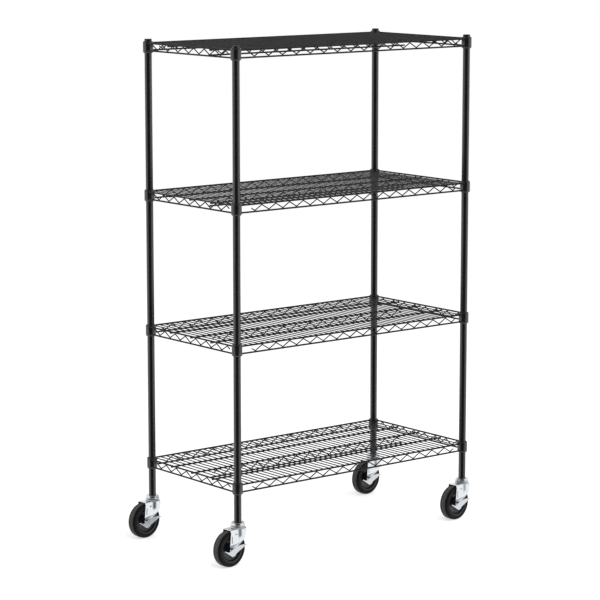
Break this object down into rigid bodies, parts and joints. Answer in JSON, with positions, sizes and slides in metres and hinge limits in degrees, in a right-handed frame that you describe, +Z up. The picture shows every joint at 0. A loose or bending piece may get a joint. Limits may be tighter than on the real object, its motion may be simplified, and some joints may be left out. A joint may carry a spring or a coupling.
{
  "type": "wire shelf cart",
  "caption": "Mobile wire shelving cart: open welded-wire shelves on round posts, held by split sleeves, rolling on swivel casters with foot brakes.",
  "frame": {"origin": "on the floor, in the middle of the four wheel contacts", "axes": "+Z up, +X along the long side of the shelves, -Y towards the side with the brake pedals"},
  "size_m": [1.1628, 0.5746, 1.7593],
  "materials": {
    "coated_wire": "semi-gloss black epoxy coat",
    "coated_tube": "semi-gloss black epoxy coat",
    "cap_plastic": "matt black",
    "sleeve_plastic": "matt black",
    "zinc": "bright zinc plate",
    "steel": "plain steel",
    "hub_plastic": "satin dark blue-black",
    "rubber": "matt dark rubber"
  },
  "bodies": {
    "frame": {"shelf_1": "coated_wire", "shelf_2": "coated_wire", "shelf_3": "coated_wire", "shelf_4": "coated_wire", "post_front_left": "coated_tube", "post_cap_front_left": "cap_plastic", "sleeve_front_left_1": "sleeve_plastic", "sleeve_front_left_2": "sleeve_plastic", "sleeve_front_left_3": "sleeve_plastic", "sleeve_front_left_4": "sleeve_plastic", "caster_stem_front_left": "zinc", "swivel_cup_front_left": "zinc", "post_front_right": "coated_tube", "post_cap_front_right": "cap_plastic", "sleeve_front_right_1": "sleeve_plastic", "sleeve_front_right_2": "sleeve_plastic", "sleeve_front_right_3": "sleeve_plastic", "sleeve_front_right_4": "sleeve_plastic", "caster_stem_front_right": "zinc", "swivel_cup_front_right": "zinc", "post_back_left": "coated_tube", "post_cap_back_left": "cap_plastic", "sleeve_back_left_1": "sleeve_plastic", "sleeve_back_left_2": "sleeve_plastic", "sleeve_back_left_3": "sleeve_plastic", "sleeve_back_left_4": "sleeve_plastic", "caster_stem_back_left": "zinc", "swivel_cup_back_left": "zinc", "post_back_right": "coated_tube", "post_cap_back_right": "cap_plastic", "sleeve_back_right_1": "sleeve_plastic", "sleeve_back_right_2": "sleeve_plastic", "sleeve_back_right_3": "sleeve_plastic", "sleeve_back_right_4": "sleeve_plastic", "caster_stem_back_right": "zinc", "swivel_cup_back_right": "zinc"},
    "swivel_front_left": {"fork_front_left": "zinc", "axle_bolt_front_left": "steel", "axle_nut_front_left": "steel"},
    "wheel_front_left": {"wheel_hub_front_left": "hub_plastic", "tyre_front_left": "rubber"},
    "brake_front_left": {"brake_pedal_front_left": "zinc"},
    "swivel_front_right": {"fork_front_right": "zinc", "axle_bolt_front_right": "steel", "axle_nut_front_right": "steel"},
    "wheel_front_right": {"wheel_hub_front_right": "hub_plastic", "tyre_front_right": "rubber"},
    "brake_front_right": {"brake_pedal_front_right": "zinc"},
    "swivel_back_left": {"fork_back_left": "zinc", "axle_bolt_back_left": "steel", "axle_nut_back_left": "steel"},
    "wheel_back_left": {"wheel_hub_back_left": "hub_plastic", "tyre_back_left": "rubber"},
    "brake_back_left": {"brake_pedal_back_left": "zinc"},
    "swivel_back_right": {"fork_back_right": "zinc", "axle_bolt_back_right": "steel", "axle_nut_back_right": "steel"},
    "wheel_back_right": {"wheel_hub_back_right": "hub_plastic", "tyre_back_right": "rubber"},
    "brake_back_right": {"brake_pedal_back_right": "zinc"}
  },
  "joints": [
    {"name": "caster_swivel_front_left", "type": "hinge", "parent": "frame", "child": "swivel_front_left", "pos_m": [-0.47463, -0.24441, 0.13134], "axis": [0, 0, 1], "continuous": true},
    {"name": "wheel_spin_front_left", "type": "hinge", "parent": "swivel_front_left", "child": "wheel_front_left", "pos_m": [-0.5154, -0.2487, 0.06253], "axis": [-0.1045, 0.9945, 0], "continuous": true},
    {"name": "brake_press_front_left", "type": "hinge", "parent": "swivel_front_left", "child": "brake_front_left", "pos_m": [-0.5154, -0.2487, 0.06253], "axis": [-0.1045, 0.9945, 0], "range_deg": [0, 15]},
    {"name": "caster_swivel_front_right", "type": "hinge", "parent": "frame", "child": "swivel_front_right", "pos_m": [0.55617, -0.24441, 0.13134], "axis": [0, 0, 1], "continuous": true},
    {"name": "wheel_spin_front_right", "type": "hinge", "parent": "swivel_front_right", "child": "wheel_front_right", "pos_m": [0.5154, -0.2487, 0.06253], "axis": [-0.1045, 0.9945, 0], "continuous": true},
    {"name": "brake_press_front_right", "type": "hinge", "parent": "swivel_front_right", "child": "brake_front_right", "pos_m": [0.5154, -0.2487, 0.06253], "axis": [-0.1045, 0.9945, 0], "range_deg": [0, 15]},
    {"name": "caster_swivel_back_left", "type": "hinge", "parent": "frame", "child": "swivel_back_left", "pos_m": [-0.47463, 0.25299, 0.13134], "axis": [0, 0, 1], "continuous": true},
    {"name": "wheel_spin_back_left", "type": "hinge", "parent": "swivel_back_left", "child": "wheel_back_left", "pos_m": [-0.5154, 0.2487, 0.06253], "axis": [-0.1045, 0.9945, 0], "continuous": true},
    {"name": "brake_press_back_left", "type": "hinge", "parent": "swivel_back_left", "child": "brake_back_left", "pos_m": [-0.5154, 0.2487, 0.06253], "axis": [-0.1045, 0.9945, 0], "range_deg": [0, 15]},
    {"name": "caster_swivel_back_right", "type": "hinge", "parent": "frame", "child": "swivel_back_right", "pos_m": [0.55617, 0.25299, 0.13134], "axis": [0, 0, 1], "continuous": true},
    {"name": "wheel_spin_back_right", "type": "hinge", "parent": "swivel_back_right", "child": "wheel_back_right", "pos_m": [0.5154, 0.2487, 0.06253], "axis": [-0.1045, 0.9945, 0], "continuous": true},
    {"name": "brake_press_back_right", "type": "hinge", "parent": "swivel_back_right", "child": "brake_back_right", "pos_m": [0.5154, 0.2487, 0.06253], "axis": [-0.1045, 0.9945, 0], "range_deg": [0, 15]}
  ]
}
